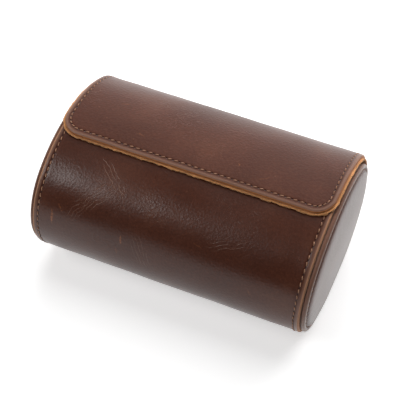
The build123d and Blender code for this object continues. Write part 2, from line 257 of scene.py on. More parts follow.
def edge_profile(thickness, round_top, reach, seam, seam_dip, bare=2):
    """Section of a hide's edge as inset, height and two marks, from its underside round to its top.

    The top edge is a quarter ellipse, the underside edge a small quarter circle. The top dips where the
    seam pulls it down and swells a little outside it. Bare is how many of the nine steps round the top edge
    show the sanded leather.
    """
    low = 0.22
    under = np.array([reach, 0.7 * reach, 0.45 * reach, 2.0, 0.9, low])
    turn = np.radians(np.linspace(0, 90, 4))[1:]
    side_height = thickness - round_top * 0.85
    swing = np.radians(np.linspace(0, 90, 9))[1:]
    top = np.array([round_top + 0.25, seam - 1.1, seam - 0.7, seam - 0.4, seam - 0.15, seam, seam + 0.15,
                    seam + 0.4, seam + 0.7, seam + 1.2, seam + 2.0, 0.5 * (seam + 2 + reach), reach])
    top = top[(top > round_top) & (top <= reach)]
    inset = np.concatenate([under, low - low * np.sin(turn), [0, 0], round_top * (1 - np.cos(swing)), top])
    height = np.concatenate([
        np.zeros(len(under)), low - low * np.cos(turn), [0.5 * (low + side_height), side_height],
        side_height + (thickness - side_height) * np.sin(swing), np.full(len(top), thickness)])
    count = len(under) + len(turn) + 2
    dip = seam_dip * np.exp(-((inset - seam) / 0.45) ** 2) - 0.35 * seam_dip * np.exp(-((inset - seam * 0.55) / 0.9) ** 2)
    above = np.arange(len(inset)) >= count + 4
    height = height - np.where(above, dip, 0.0)
    cut = np.zeros(len(inset))
    cut[len(under) - 1:count + bare] = 1.0
    cut[count + bare:count + bare + 2] = (0.8, 0.35)
    # This mark paints the rounded top edge pale: partly wear, partly a painted sheen where the edge catches the light.
    bevel_wear_and_sheen = np.zeros(len(inset))
    bevel_wear_and_sheen[count + 1:count + 8] = 1.0
    bevel_wear_and_sheen[count + 8:count + 10] = (0.75, 0.25)
    return inset, height, cut, bevel_wear_and_sheen


def u_outline(half, radius, front, back, step):
    """Outline of a hide with two round front corners, open at the back: place, inward normal and length.

    It runs forward along the left side, round a quarter circle, along the front and back on the right.
    """
    side = np.arange(back, front + radius, -step)
    turn = np.radians(np.linspace(0, 90, max(8, int(radius * 1.6 / step))))
    flat = np.arange(-half + radius + step, half - radius, step)
    left = np.stack([np.full(len(side), -half), side], -1)
    corner = np.stack([-half + radius - radius * np.cos(turn), front + radius - radius * np.sin(turn)], -1)
    edge = np.stack([flat, np.full(len(flat), front)], -1)
    place = np.concatenate([left, corner, edge, (corner * [-1, 1])[::-1], (left * [-1, 1])[::-1]])
    inward = np.concatenate([
        np.tile([1.0, 0.0], (len(left), 1)), np.stack([np.cos(turn), np.sin(turn)], -1),
        np.tile([0.0, 1.0], (len(edge), 1)), np.stack([-np.cos(turn), np.sin(turn)], -1)[::-1],
        np.tile([-1.0, 0.0], (len(left), 1))])
    length = np.concatenate([[0], np.cumsum(np.hypot(*np.diff(place, axis=0).T))])
    return place, inward, length, side, flat


def flap_shape(table, half, radius, front, back, floor, profile, step, hollow=None, strip=0.0, skive=0.0,
               rough=0.0, uneven=0.0, seed=1):
    """Points, quads, maps and marks of a hide with round front corners.

    The edge profile is carried along the U-shaped outline, and two sheets close the top and underside from
    where the profile ends, one corner radius in. Thickness falls to a third over the last skive mm at the
    back. Past the run hollow, the hide is only two side strips, closed by inner walls.
    """
    inset, height, cut, bevel_wear_and_sheen = profile
    place, inward, length, side, flat = u_outline(half, radius, front, back, step)
    rng = np.random.default_rng(seed)
    fray = rough * np.convolve(rng.normal(size=len(place) + 2), [0.5, 0.8, 0.5], "valid")[:, None]
    full = height[-1]
    near = np.exp(-(inset / 0.5) ** 2) * (height < full - 0.2)
    spread = inset + fray * near
    along = np.concatenate([side, [front + radius]])
    across = np.concatenate([[-half + radius], flat, [half - radius]])
    quads, first = [], 0
    if hollow:
        first = np.flatnonzero(side <= hollow)[0]
        spread = np.minimum(spread, np.where(place[:, 1:] > side[first] + 0.01, strip, radius))
        row = np.arange(first + 1)
        for row in (row, len(place) - 1 - row):
            low, high = row * len(inset), (row + 1) * len(inset) - 1
            quads.append(np.stack([low[:-1], low[1:], high[1:], high[:-1]], -1))
    plan = place[:, None, :] + inward[:, None, :] * spread[..., None]
    rings = np.broadcast_to(height, plan.shape[:2])
    runs = np.broadcast_to(length[:, None], plan.shape[:2])
    parts = [(plan.reshape(-1, 2), rings.ravel(), runs.ravel(), np.broadcast_to(inset, rings.shape).ravel(),
              np.broadcast_to(cut, rings.shape).ravel(), np.broadcast_to(bevel_wear_and_sheen, rings.shape).ravel())]
    quads.append(grid_faces(*plan.shape[:2]))
    gx, gs = np.meshgrid(across, along[first:], indexing="ij")
    count = len(parts[0][1])
    for level in (full, 0.0):
        parts.append((np.stack([gx.ravel(), gs.ravel()], -1), np.full(gx.size, level), np.zeros(gx.size),
                      np.full(gx.size, 50.0), np.full(gx.size, 0.0 if level else 0.3), np.zeros(gx.size)))
        quads.append(grid_faces(*gx.shape, start=count))
        count += gx.size
    if hollow:
        low = count - gx.size + np.arange(len(across)) * gx.shape[1]
        quads.append(np.stack([low[:-1], low[1:], low[1:] - gx.size, low[:-1] - gx.size], -1))
    plan, rise, runs, insets, cuts, bevels = (np.concatenate(p) for p in zip(*parts))
    if skive:
        rise = rise * (1 - 0.66 * np.clip((plan[:, 1] - (back - skive)) / skive, 0, 1) ** 1.5)
    rise = rise + uneven * ripple(plan[:, 0], plan[:, 1], 22.0, seed) * (rise / full)
    points = on_section(table, plan[:, 0], plan[:, 1], floor + rise)
    maps = {"hide": plan * MM, "rim": np.stack([runs, insets], -1) * MM}
    return points, np.concatenate(quads), maps, {"cut": cuts, "bevel_wear_and_sheen": bevels}


def wrap_shape(table, sizes, first, last, step=1.1):
    """Points, quads, maps and marks of the wrap's hide: the edge profile of both ends makes one closed
    loop across the tube, and the loop is carried round the section and thinned at both lips."""
    half = sizes.tube_length / 2
    inset, height, cut, bevel_wear_and_sheen = edge_profile(sizes.wrap_thickness, 0.95, 9.0, sizes.wrap_seam, 0.16, bare=6)
    inner = np.arange(-half + 9 + 1.5, half - 9, 1.5)
    x = np.concatenate([half - inset, inner[::-1], (inset - half)[::-1], inner])
    level = np.concatenate([height, np.full(len(inner), sizes.wrap_thickness), height[::-1], np.zeros(len(inner))])
    inset_all = np.concatenate([inset, np.full(len(inner), 50.0), inset[::-1], np.full(len(inner), 50.0)])
    cuts = np.concatenate([cut, np.zeros(len(inner)), cut[::-1], np.full(len(inner), 0.3)])
    bevels = np.concatenate([bevel_wear_and_sheen, np.zeros(len(inner)), bevel_wear_and_sheen[::-1], np.zeros(len(inner))])
    lip = np.array([0.0, 0.12, 0.35, 0.7])
    run = np.concatenate([first + lip, np.arange(first + 1.5, last - 1.2, step), (last - lip)[::-1]])
    near = np.minimum(run - first, last - run)
    swell = np.sqrt(np.clip(1 - (1 - np.clip(near / 0.7, 0, 1)) ** 2, 0.08, 1))
    middle = sizes.wrap_thickness / 2
    depth = (level[None] - middle) * swell[:, None] + middle - sizes.wrap_thickness
    grid_x, grid_run = np.meshgrid(x, run)
    loose = np.clip((inset_all - 1.0) / 6.0, 0, 1) * (level > middle)
    away = np.clip(near / 6.0, 0, 1)
    foot = np.clip((grid_run - run_at(table, -60)) / 10, 0, 1) + np.clip((run_at(table, -118) - grid_run) / 10, 0, 1)
    depth = depth + 0.13 * ripple(grid_x, grid_run, 24.0, 4) * loose * away[:, None] * foot
    points = on_section(table, grid_x, grid_run, depth).reshape(-1, 3)
    rows, columns = grid_x.shape
    maps = {"hide": np.stack([grid_x, grid_run], -1).reshape(-1, 2) * MM,
            "rim": np.stack([grid_run, np.broadcast_to(inset_all, grid_run.shape)], -1).reshape(-1, 2) * MM}
    marks = {"cut": np.tile(cuts, rows), "bevel_wear_and_sheen": np.tile(bevels, rows)}
    return points, grid_faces(rows, columns, wrap_columns=True), maps, marks


def panel_shape(table, sizes, side):
    """Points, quads, maps and marks of an end panel.

    A profile of inset and rise beyond the rim is carried round the whole section: a plug in the tube, a roll
    that swells out over the rim, a sunk crease and a dome that shrinks to the middle. Stitches pull the
    crease down between bulges.
    """
    rim = sizes.tube_length / 2
    crease = sizes.crease_inset
    turn = np.radians(np.linspace(-72, 96, 15))
    inset = np.concatenate([[2.7, 2.3, 2.2], 2.2 - 1.2 * np.cos(turn),
                            crease + np.array([-0.75, -0.5, -0.3, -0.14, 0.0, 0.14, 0.3, 0.5, 0.85, 1.4, 2.2, 3.6, 5.6,
                                               8.6, 12.6, 18.6])])
    rise = np.concatenate([[-0.95, -0.9, -0.2], 1.3 + 1.2 * np.sin(turn),
                           [2.44, 2.33, 2.18, 2.05, 2.0, 2.06, 2.24, 2.5, 2.82, 3.1, 3.34, 3.58, 3.76, 3.9, 4.0, 4.08]])
    shrink = np.array([0.82, 0.62, 0.4, 0.2, 0.0])
    rise_in = np.array([4.12, 4.16, 4.18, 4.19, 4.19])
    start, stop = run_at(table, -89.999), run_at(table, 270)
    tall = PANEL_RISE[side]
    count = int(round((stop - start) / sizes.stitch_pitch)) * 6
    run = np.linspace(start, stop, count, endpoint=False)
    span = (run - start)[:, None]
    bulge = np.cos(2 * np.pi * span * (count / 6) / (stop - start))
    near = np.exp(-((inset - crease) / 0.8) ** 2)
    wave = 0.08 * bulge * near + 0.05 * ripple(span, inset * 3, 9.0, 7 + side) * np.clip((inset - 2) / 3, 0, 1)
    depth = -np.broadcast_to(inset, (count, len(inset)))
    shell = on_section(table, 0.0, run[:, None], depth)
    shell[..., 0] = side * (rim + rise * tall + wave) * MM
    middle = shell[:, -1].mean(0)
    dome = middle + (shell[:, -1][:, None] - middle) * shrink[:, None]
    dome[..., 0] = side * (rim + rise_in * tall) * MM
    back = middle + (shell[:, 0][:, None] - middle) * np.array([0.6, 0.3, 0.0])[:, None]
    back[..., 0] = shell[0, 0, 0]
    grid = np.concatenate([back[:, ::-1], shell, dome], 1)
    rows, columns = grid.shape[:2]
    points = grid.reshape(-1, 3)
    lengths = np.broadcast_to(span, (rows, columns))
    insets = np.concatenate([[30, 30, 30], inset, [30] * 5])
    flat_maps = {"hide": points[:, 1:3] + [0.3 * side, 0.0],
                 "rim": np.stack([lengths, np.broadcast_to(insets, lengths.shape)], -1).reshape(-1, 2) * MM}
    # Painted sheen: the roll outside the crease is marked to be painted pale, where it catches a grazing sheen.
    bevel_wear_and_sheen = np.concatenate([[0] * 3, np.exp(-((inset - 1.9) / 1.3) ** 2) * (rise > 0.0), [0] * 5])
    marks = {"cut": np.zeros(len(points)), "bevel_wear_and_sheen": np.tile(bevel_wear_and_sheen, rows)}
    return points, grid_faces(rows, columns, wrap_rows=True), flat_maps, marks


def stitch_shape(places, along, out, sizes, lean=0.16, rise=0.16):
    """Points and quads of a row of stitches.

    Each is a short thread whose centre line is a parabola that dives into the leather at both ends, with
    an elliptic section, turned a little in the plane of the leather. The ends close in a point.
    """
    t = np.linspace(-1, 1, 7)
    w = np.linspace(0, 2 * np.pi, 7)[:-1]
    width = sizes.thread_width / 2 * np.sqrt(np.clip(1 - t**4, 0, 1))
    lift = rise - 0.42 * t**4
    across = np.cross(out, along)
    turned = along * np.cos(lean) + across * np.sin(lean)
    aside = np.cross(out, turned)
    local = [t[:, None] * sizes.stitch_length / 2 + 0 * w, width[:, None] * np.cos(w), lift[:, None] + 0.7 * width[:, None] * np.sin(w)]
    points = places[:, None, None] + MM * (
        local[0][None, ..., None] * turned[:, None, None] + local[1][None, ..., None] * aside[:, None, None]
        + local[2][None, ..., None] * out[:, None, None])
    one = grid_faces(7, 6, wrap_columns=True)
    quads = (one[None] + 42 * np.arange(len(places))[:, None, None]).reshape(-1, 4)
    maps = {"hide": np.stack([np.broadcast_to(local[0][None], points.shape[:3]),
                              np.broadcast_to((w * 0.3)[None, None], points.shape[:3])], -1).reshape(-1, 2) * MM}
    return points.reshape(-1, 3), quads, maps


def pillow_shape(middle, length, width, height, seed):
    """Points and quads of a stuffed pillow: a superellipse section that swells to its crown, ends drawn in
    round and closed by low domes, and shallow gathers that start at the end seams."""
    u = np.linspace(-1, 1, 61)
    w = np.linspace(0, 2 * np.pi, 121)[:-1]
    crown = (1 - np.abs(u) ** 5) ** 0.22 * 0.2 + 0.8 - 0.055 * u**2
    power = 0.74
    sy = np.sign(np.cos(w)) * np.abs(np.cos(w)) ** power
    sz = np.sign(np.sin(w)) * np.abs(np.sin(w)) ** power
    edge = np.clip((np.abs(u) - 0.55) / 0.45, 0, 1)[:, None]
    gather = 1 - 0.012 * edge * (1 + ripple(w[None] * 9, u[:, None] * 2, 5.0, seed))
    slump = 1 + 0.012 * ripple(u[:, None] * 25, w[None] * 12, 26.0, seed + 3)
    ring = gather * slump * crown[:, None]
    x = np.broadcast_to(u[:, None] * length / 2, ring.shape)
    body = np.stack([x, ring * sy * width / 2, ring * sz * height / 2], -1)
    caps = []
    for end in (0, -1):
        shrink = np.array([0.93, 0.8, 0.6, 0.35, 0.0])[:, None, None]
        cap = body[end][None] * [1, 0, 0] + body[end][None] * [0, 1, 1] * shrink
        cap[..., 0] += (1 if end else -1) * 1.1 * (1 - shrink[..., 0] ** 2)
        caps.append(cap if end else cap[::-1])
    grid = np.concatenate([caps[0], body, caps[1]])
    points = (grid.reshape(-1, 3) + middle) * MM
    return points, grid_faces(*grid.shape[:2], wrap_columns=True)


def cord_ring(points, radius):
    """Points and quads of a closed cord: a circle of six points carried along a ring of points."""
    ahead = np.roll(points, -1, 0) - np.roll(points, 1, 0)
    ahead /= np.linalg.norm(ahead, axis=1)[:, None]
    side = np.cross(ahead, [1.0, 0.0, 0.0])
    side /= np.linalg.norm(side, axis=1)[:, None]
    up = np.cross(side, ahead)
    w = np.linspace(0, 2 * np.pi, 9)[:-1]
    grid = points[:, None] + radius * MM * (side[:, None] * np.cos(w)[None, :, None] + up[:, None] * np.sin(w)[None, :, None])
    return grid.reshape(-1, 3), grid_faces(len(points), 8, wrap_rows=True, wrap_columns=True)


def lip_shape(table, half, edge, inward, thickness, deep):
    """Points and quads of a turned lip: a strip with a round top edge, drawn straight along the tube."""
    turn = np.radians(np.linspace(0, 180, 9))
    run = np.concatenate([[0], thickness / 2 * (1 - np.cos(turn)), [thickness]])
    depth = np.concatenate([[-deep], -0.7 * thickness / 2 + thickness / 2 * np.sin(turn) * 0.7, [-deep]])
    x = np.linspace(-half, half, 100)
    grid_x, grid_run = np.meshgrid(x, edge + inward * run, indexing="ij")
    grid_depth = np.broadcast_to(depth, grid_x.shape) - 0.02
    points = on_section(table, grid_x, grid_run, grid_depth)
    maps = {"hide": np.stack([grid_x, grid_run], -1).reshape(-1, 2) * MM}
    return points.reshape(-1, 3), grid_faces(*grid_x.shape, wrap_columns=True), maps


# Finishes ---------------------------------------------------------------------------------------------

def add(tree, kind, inputs=None, **settings):
    """A node with its settings and its inputs, each a value or a socket to link from."""
    item = tree.nodes.new(kind)
    for key, value in settings.items():
        setattr(item, key, value)
    for key, value in (inputs or {}).items():
        if isinstance(value, bpy.types.NodeSocket):
            tree.links.new(value, item.inputs[key])
        else:
            item.inputs[key].default_value = value
    return item


def math_node(tree, operation, a, b=0.0, clamp=False):
    """The result of one sum."""
    return add(tree, "ShaderNodeMath", {0: a, 1: b}, operation=operation, use_clamp=clamp).outputs[0]


def mix(tree, factor, a, b, blend="MIX"):
    """One colour laid over another."""
    return add(tree, "ShaderNodeMix", {0: factor, 6: a, 7: b}, data_type="RGBA", blend_type=blend).outputs[2]


def ramp(tree, value, low, high, to_low=0.0, to_high=1.0):
    """A value taken smoothly from one range to another."""
    return add(tree, "ShaderNodeMapRange", {"Value": value, "From Min": low, "From Max": high, "To Min": to_low,
               "To Max": to_high}, interpolation_type="SMOOTHSTEP").outputs[0]


def noise(tree, vector, scale, detail=3.0, rough=0.5, distort=0.0):
    """Noise of this many waves a metre."""
    return add(tree, "ShaderNodeTexNoise", {"Vector": vector, "Scale": scale, "Detail": detail, "Roughness": rough,
               "Distortion": distort}).outputs["Fac"]


def rgba(colour):
    """A colour with full alpha."""
    return (colour[0], colour[1], colour[2], 1.0)


def new_group(name, sockets_in, sockets_out):
    """An empty node group with named inputs and outputs, or None with it where it is already built."""
    if name in bpy.data.node_groups:
        return bpy.data.node_groups[name], None, None
    group = bpy.data.node_groups.new(name, "ShaderNodeTree")
    for key, kind, default in sockets_in:
        socket = group.interface.new_socket(name=key, in_out="INPUT", socket_type=kind)
        if default is not None:
            socket.default_value = default
    for key, kind in sockets_out:
        group.interface.new_socket(name=key, in_out="OUTPUT", socket_type=kind)
    return group, group.nodes.new("NodeGroupInput"), group.nodes.new("NodeGroupOutput")


def grain_group():
    """Leather grain: fine pebbles, pores and thin wandering wrinkles, as a height and a wrinkle mask."""
    group, source, result = new_group(
        "leather_grain",
        [("Vector", "NodeSocketVector", None), ("Pebble", "NodeSocketFloat", 900.0), ("Creases", "NodeSocketFloat", 0.5)],
        [("Height", "NodeSocketFloat"), ("Crease", "NodeSocketFloat")])
    if source:
        vector = source.outputs["Vector"]
        pebble = add(group, "ShaderNodeTexVoronoi", {"Vector": vector, "Scale": source.outputs["Pebble"], "Randomness": 1.0},
                     feature="SMOOTH_F1", voronoi_dimensions="2D").outputs["Distance"]
        ridge = noise(group, vector, 150.0, 4.0, 0.62, 0.7)
        ridge = math_node(group, "ABSOLUTE", math_node(group, "SUBTRACT", ridge, 0.5))
        lines = ramp(group, ridge, 0.022, 0.0)
        patch = ramp(group, noise(group, vector, 30.0, 2.0), 0.44, 0.66)
        crease = math_node(group, "MULTIPLY", math_node(group, "MULTIPLY", lines, patch), source.outputs["Creases"])
        fine = noise(group, vector, 1500.0, 3.0)
        height = math_node(group, "MULTIPLY", pebble, 0.6)
        height = math_node(group, "ADD", height, math_node(group, "MULTIPLY", fine, 0.35))
        group.links.new(height, result.inputs["Height"])
        group.links.new(crease, result.inputs["Crease"])
    return group


def pull_up_group():
    """Colour of waxed pull-up leather: dark oiled clouds, paler pulled clouds, speckle and pale nicks."""
    group, source, result = new_group(
        "pull_up_colour",
        [("Vector", "NodeSocketVector", None), ("Hide", "NodeSocketColor", None), ("Oiled", "NodeSocketColor", None),
         ("Pulled", "NodeSocketColor", None), ("Crease", "NodeSocketFloat", 0.0), ("Clouds", "NodeSocketFloat", 1.0)],
        [("Color", "NodeSocketColor"), ("Wax", "NodeSocketFloat")])
    if source:
        vector = source.outputs["Vector"]
        cloud = noise(group, vector, 22.0, 5.0, 0.55, 0.4)
        dark = math_node(group, "MULTIPLY", ramp(group, cloud, 0.62, 0.30), source.outputs["Clouds"])
        pale = math_node(group, "MULTIPLY", ramp(group, cloud, 0.50, 0.80), source.outputs["Clouds"])
        colour = mix(group, math_node(group, "MULTIPLY", dark, 0.45), source.outputs["Hide"], source.outputs["Oiled"])
        colour = mix(group, math_node(group, "MULTIPLY", pale, 0.5), colour, source.outputs["Pulled"])
        speckle = ramp(group, noise(group, vector, 700.0, 4.0, 0.7), 0.35, 0.75, 0.86, 1.16)
        colour = mix(group, 1.0, colour, add(group, "ShaderNodeCombineColor", {0: speckle, 1: speckle, 2: speckle}).outputs[0], "MULTIPLY")
        nick = add(group, "ShaderNodeTexVoronoi", {"Vector": vector, "Scale": 75.0, "Randomness": 1.0}, voronoi_dimensions="2D")
        spot = ramp(group, nick.outputs["Distance"], 0.035, 0.012)
        spot = math_node(group, "MULTIPLY", spot, ramp(group, noise(group, vector, 41.0, 1.0), 0.55, 0.62))
        colour = mix(group, math_node(group, "MULTIPLY", spot, 0.7), colour, source.outputs["Pulled"])
        colour = mix(group, math_node(group, "MULTIPLY", source.outputs["Crease"], 0.45), colour, source.outputs["Pulled"])
        group.links.new(colour, result.inputs["Color"])
        group.links.new(dark, result.inputs["Wax"])
    return group


def scuff_group():
    """A ragged scuff: a soft-ended stroke at a place on the hide, turned and broken up by noise."""
    group, source, result = new_group(
        "scuff",
        [("Vector", "NodeSocketVector", None), ("Place", "NodeSocketVector", None), ("Turn", "NodeSocketFloat", 0.0),
         ("Length", "NodeSocketFloat", 0.006), ("Width", "NodeSocketFloat", 0.001)],
        [("Mask", "NodeSocketFloat")])
    if source:
        vector = source.outputs["Vector"]
        moved = add(group, "ShaderNodeVectorMath", {0: vector, 1: source.outputs["Place"]}, operation="SUBTRACT").outputs[0]
        turned = add(group, "ShaderNodeVectorRotate", {"Vector": moved, "Angle": source.outputs["Turn"]}, rotation_type="Z_AXIS").outputs[0]
        parts = add(group, "ShaderNodeSeparateXYZ", {0: turned})
        wobble = math_node(group, "MULTIPLY", math_node(group, "SUBTRACT", noise(group, vector, 320.0, 3.0), 0.5), 0.002)
        along = math_node(group, "DIVIDE", math_node(group, "ABSOLUTE", parts.outputs[0]), source.outputs["Length"])
        across = math_node(group, "ADD", parts.outputs[1], wobble)
        across = math_node(group, "DIVIDE", math_node(group, "ABSOLUTE", across), source.outputs["Width"])
        reach = math_node(group, "ADD", math_node(group, "POWER", along, 2.0), math_node(group, "POWER", across, 2.0))
        mask = ramp(group, reach, 1.0, 0.25)
        broken = ramp(group, noise(group, vector, 1100.0, 3.0), 0.35, 0.6)
        group.links.new(math_node(group, "MULTIPLY", mask, broken), result.inputs["Mask"])
    return group


def crease_fan_group():
    """Creases where the hide was folded: a bunch of thin lines side by side inside a soft ellipse, bent by
    noise and broken at different places, about a place on the hide."""
    group, source, result = new_group(
        "crease_fan",
        [("Vector", "NodeSocketVector", None), ("Place", "NodeSocketVector", None), ("Turn", "NodeSocketFloat", 0.0),
         ("Length", "NodeSocketFloat", 0.012), ("Width", "NodeSocketFloat", 0.003), ("Pitch", "NodeSocketFloat", 0.0016)],
        [("Mask", "NodeSocketFloat")])
    if source:
        vector = source.outputs["Vector"]
        moved = add(group, "ShaderNodeVectorMath", {0: vector, 1: source.outputs["Place"]}, operation="SUBTRACT").outputs[0]
        turned = add(group, "ShaderNodeVectorRotate", {"Vector": moved, "Angle": source.outputs["Turn"]}, rotation_type="Z_AXIS").outputs[0]
        parts = add(group, "ShaderNodeSeparateXYZ", {0: turned})
        along, across = parts.outputs[0], parts.outputs[1]
        bend = math_node(group, "MULTIPLY", math_node(group, "SUBTRACT", noise(group, vector, 150.0, 2.0), 0.5), 0.0032)
        bent = math_node(group, "DIVIDE", math_node(group, "ADD", across, bend), source.outputs["Pitch"])
        off = math_node(group, "PINGPONG", bent, 0.5)
        line = ramp(group, off, 0.13, 0.02)
        number = math_node(group, "ROUND", bent)
        where = add(group, "ShaderNodeCombineXYZ", {0: along, 1: math_node(group, "MULTIPLY", number, 0.031)}).outputs[0]
        broken = ramp(group, noise(group, where, 130.0, 1.0), 0.40, 0.52)
        a = math_node(group, "POWER", math_node(group, "DIVIDE", math_node(group, "ABSOLUTE", along), source.outputs["Length"]), 2.0)
        b = math_node(group, "POWER", math_node(group, "DIVIDE", math_node(group, "ABSOLUTE", across), source.outputs["Width"]), 2.0)
        inside = ramp(group, math_node(group, "ADD", a, b), 1.0, 0.45)
        mask = math_node(group, "MULTIPLY", math_node(group, "MULTIPLY", line, broken), inside)
        group.links.new(mask, result.inputs["Mask"])
    return group


def sewn_group():
    """Needle holes along a seam, from the run and the inset from the edge, and the seam's pulled groove."""
    group, source, result = new_group(
        "sewn_edge",
        [("Rim", "NodeSocketVector", None), ("Pitch", "NodeSocketFloat", 0.0033), ("Inset", "NodeSocketFloat", 0.0034)],
        [("Hole", "NodeSocketFloat"), ("Groove", "NodeSocketFloat")])
    if source:
        parts = add(group, "ShaderNodeSeparateXYZ", {0: source.outputs["Rim"]})
        beat = math_node(group, "FRACT", math_node(group, "DIVIDE", parts.outputs[0], source.outputs["Pitch"]))
        beat = math_node(group, "MULTIPLY", math_node(group, "SUBTRACT", beat, 0.5), source.outputs["Pitch"])
        off = math_node(group, "SUBTRACT", parts.outputs[1], source.outputs["Inset"])
        reach = math_node(group, "SQRT", math_node(group, "ADD", math_node(group, "POWER", beat, 2.0), math_node(group, "POWER", off, 2.0)))
        group.links.new(ramp(group, reach, 0.00042, 0.0002), result.inputs["Hole"])
        group.links.new(ramp(group, math_node(group, "ABSOLUTE", off), 0.0009, 0.0002), result.inputs["Groove"])
    return group


def fibre_group():
    """Raw leather and suede: short fibres as a height, and their uneven tone."""
    group, source, result = new_group(
        "raw_fibre",
        [("Vector", "NodeSocketVector", None), ("Scale", "NodeSocketFloat", 1400.0)],
        [("Height", "NodeSocketFloat"), ("Tone", "NodeSocketFloat")])
    if source:
        vector = source.outputs["Vector"]
        nap = add(group, "ShaderNodeTexNoise", {"Vector": vector, "Scale": source.outputs["Scale"], "Detail": 5.0, "Roughness": 0.7}).outputs["Fac"]
        brushed = noise(group, vector, 70.0, 4.0, 0.6, 0.8)
        tone = math_node(group, "ADD", math_node(group, "MULTIPLY", nap, 0.5), math_node(group, "MULTIPLY", brushed, 0.5))
        group.links.new(nap, result.inputs["Height"])
        group.links.new(ramp(group, tone, 0.3, 0.7), result.inputs["Tone"])
    return group


def place_group(tree, group, inputs):
    """A node group put into a material, with its inputs set or linked."""
    item = tree.nodes.new("ShaderNodeGroup")
    item.node_tree = group
    for key, value in inputs.items():
        if isinstance(value, bpy.types.NodeSocket):
            tree.links.new(value, item.inputs[key])
        else:
            item.inputs[key].default_value = value
    return item


def new_material(name):
    """An empty material with its shader, or only the material where it is already built."""
    if name in bpy.data.materials:
        return bpy.data.materials[name], None, None
    material = bpy.data.materials.new(name)
    material.use_nodes = True
    tree = material.node_tree
    return material, tree, tree.nodes["Principled BSDF"]


def hide_material(name, colours, pitch, inset, creases=0.5, scuffs=(), fans=(), grain_depth=0.00014, painted_shade=0.0, satin=0.36, edge=None, sheen=0.3, specular=0.25):
    """Waxed leather with grain, clouds, scuffs, needle holes and a raw cut edge. Its tone can be darkened by a share of
    painted shade; the bevelled edge is painted pale, partly wear and partly painted sheen; crease lines are painted
    pale, partly pull-up and partly painted highlight; needle holes are painted dark as painted shade.
    """
    material, tree, shader = new_material(name)
    if not tree:
        return material
    flat = add(tree, "ShaderNodeUVMap", uv_map="hide").outputs[0]
    rim = add(tree, "ShaderNodeUVMap", uv_map="rim").outputs[0]
    cut = add(tree, "ShaderNodeAttribute", attribute_name="cut").outputs["Fac"]
    bevel_wear_and_sheen = add(tree, "ShaderNodeAttribute", attribute_name="bevel_wear_and_sheen").outputs["Fac"]
    grain = place_group(tree, grain_group(), {"Vector": flat, "Pebble": 900.0, "Creases": creases})
    # Painted shade: the tones are darkened towards half by this share, so a whole piece reads as if it stood in shade.
    deep = [c * 0.5 for c in colours.hide]
    tone = [[c * (1 - painted_shade) + d * painted_shade for c, d in zip(colour, deep)]
            for colour in (colours.hide, colours.hide_dark, colours.hide_pulled)]
    fold_and_highlight = 0.0
    for place, turn, length, width, gap, strength in fans:
        fan = place_group(tree, crease_fan_group(), {"Vector": flat, "Place": place, "Turn": turn, "Length": length,
                          "Width": width, "Pitch": gap})
        fold_and_highlight = math_node(tree, "MAXIMUM", fold_and_highlight, math_node(tree, "MULTIPLY", fan.outputs["Mask"], strength))
    skin = place_group(tree, pull_up_group(), {"Vector": flat, "Hide": rgba(tone[0]), "Oiled": rgba(tone[1]),
                       "Pulled": rgba(tone[2]), "Crease": grain.outputs["Crease"]})
    # Crease lines are painted pale with the worn colour: partly pull-up of the bent hide, partly a painted highlight on
    # their ridges.
    colour = mix(tree, math_node(tree, "MULTIPLY", fold_and_highlight, 0.6), skin.outputs["Color"], rgba(colours.worn))
    for place, turn, length, width, strength in scuffs:
        mark = place_group(tree, scuff_group(), {"Vector": flat, "Place": place, "Turn": turn, "Length": length, "Width": width})
        colour = mix(tree, math_node(tree, "MULTIPLY", mark.outputs["Mask"], strength), colour, rgba(colours.scuff))
    sewn = place_group(tree, sewn_group(), {"Rim": rim, "Pitch": pitch * MM, "Inset": inset * MM})
    # The bevelled edge is mixed towards the worn colour: partly wear, partly painted sheen.
    colour = mix(tree, math_node(tree, "MULTIPLY", bevel_wear_and_sheen, 0.8), colour, rgba(colours.worn))
    colour = mix(tree, math_node(tree, "MULTIPLY", sewn.outputs["Groove"], 0.35), colour, rgba(tone[1]))
    # Needle holes are painted near black: painted shade inside the holes.
    colour = mix(tree, math_node(tree, "MULTIPLY", sewn.outputs["Hole"], 0.7), colour, (0.008, 0.003, 0.002, 1.0))
    fibre = place_group(tree, fibre_group(), {"Vector": add(tree, "ShaderNodeTexCoord").outputs["Object"]})
    bare = edge or colours.cut_edge
    cut_tone = mix(tree, math_node(tree, "MULTIPLY", fibre.outputs["Tone"], 0.6), rgba(bare), rgba([c * 0.62 for c in bare]))
    ragged = math_node(tree, "ADD", cut, math_node(tree, "MULTIPLY", math_node(tree, "SUBTRACT", fibre.outputs["Height"], 0.5), 0.6))
    raw = ramp(tree, ragged, 0.30, 0.62)
    colour = mix(tree, raw, colour, cut_tone)
    tree.links.new(colour, shader.inputs["Base Color"])
    gloss = ramp(tree, noise(tree, flat, 30.0, 3.0), 0.3, 0.7, satin, satin + 0.1)
    gloss = math_node(tree, "ADD", gloss, math_node(tree, "MULTIPLY", raw, 0.35))
    tree.links.new(gloss, shader.inputs["Roughness"])
    height = math_node(tree, "ADD", grain.outputs["Height"], math_node(tree, "MULTIPLY", fibre.outputs["Height"], raw))
    height = math_node(tree, "SUBTRACT", height, math_node(tree, "MULTIPLY", sewn.outputs["Hole"], 2.5))
    folded = math_node(tree, "MAXIMUM", fold_and_highlight, grain.outputs["Crease"])
    height = math_node(tree, "SUBTRACT", height, math_node(tree, "MULTIPLY", folded, 1.2))
    bump = add(tree, "ShaderNodeBump", {"Height": height, "Distance": grain_depth, "Strength": 0.9})
    tree.links.new(bump.outputs[0], shader.inputs["Normal"])
    shader.inputs["Specular IOR Level"].default_value = specular
    shader.inputs["Sheen Weight"].default_value = sheen
    shader.inputs["Sheen Roughness"].default_value = 0.4
    return material


